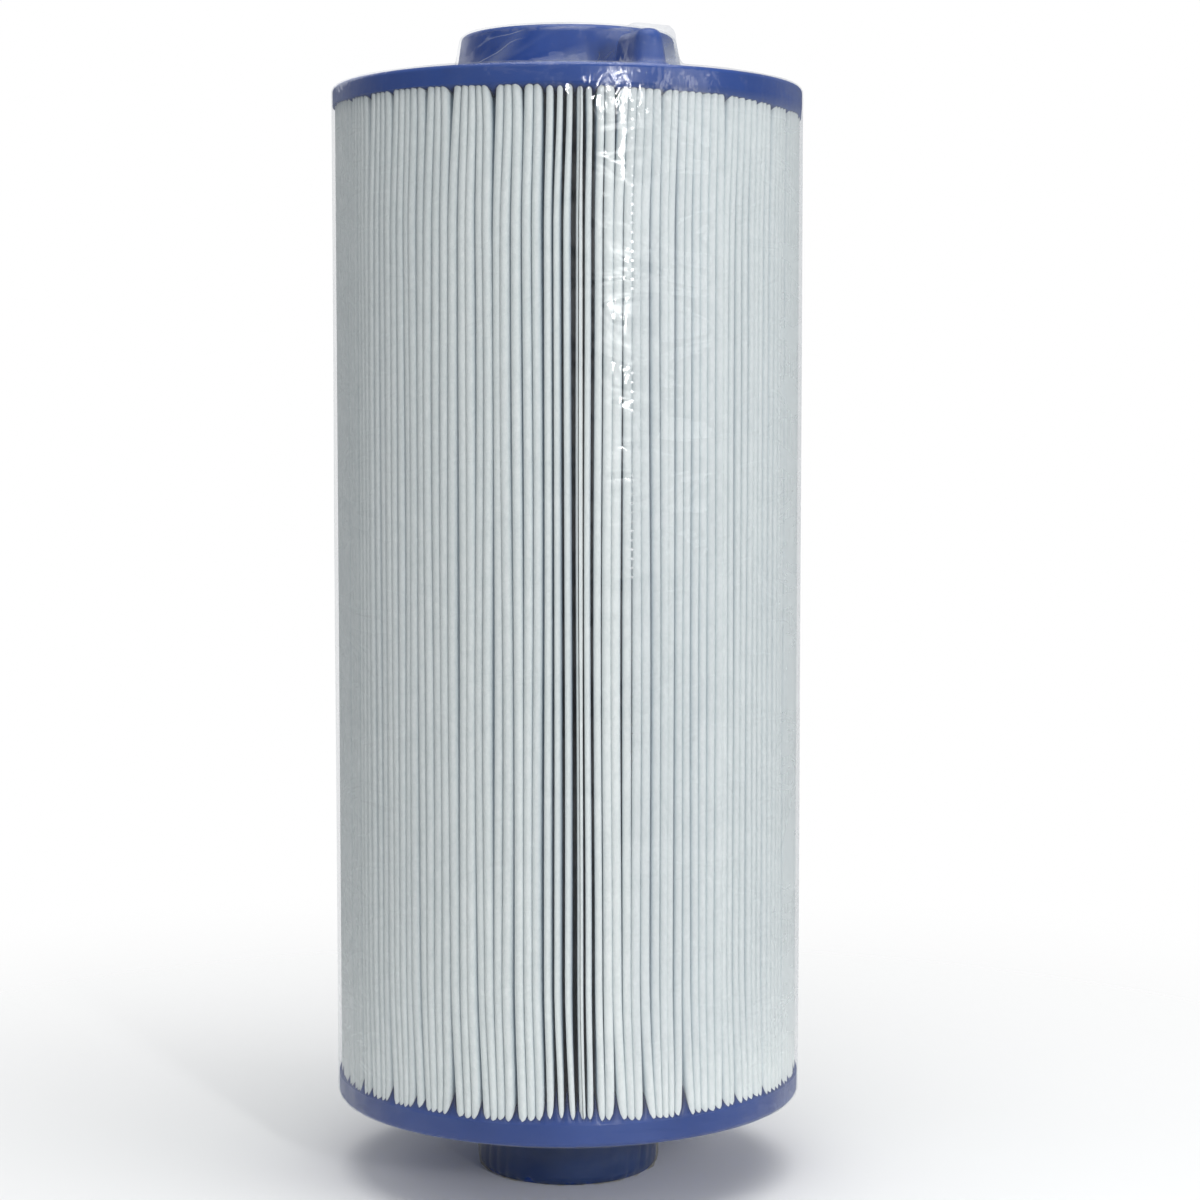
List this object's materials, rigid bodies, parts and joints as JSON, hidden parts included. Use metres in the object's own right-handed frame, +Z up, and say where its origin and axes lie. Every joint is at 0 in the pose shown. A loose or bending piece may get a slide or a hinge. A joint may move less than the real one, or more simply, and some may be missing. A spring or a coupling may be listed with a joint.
{
  "type": "pleated filter cartridge",
  "caption": "Upright pleated filter cartridge with blue cast end caps, a finger-cup knob on top, an open outlet spigot below and a clear shrink film sleeve.",
  "frame": {"origin": "on the cartridge's axis in the plane of the spigot's open end, the lowest point of the part", "axes": "+Z up along the cartridge's axis from the spigot to the knob; -Y is the front, with one lug 23 degrees to the right of it"},
  "size_m": [0.1263, 0.1262, 0.3065],
  "materials": {
    "blue_urethane_top": "satin",
    "blue_urethane_bottom": "satin",
    "filter_fabric": "matte",
    "seam_glue": "satin",
    "core_plastic": "matte",
    "clear_film": "gloss"
  },
  "bodies": {
    "root": {"top_end_cap": "blue_urethane_top", "bottom_end_cap": "blue_urethane_bottom", "pleated_media": "filter_fabric", "seam_adhesive": "seam_glue", "core_tube": "core_plastic", "shrink_film": "clear_film"}
  },
  "joints": []
}
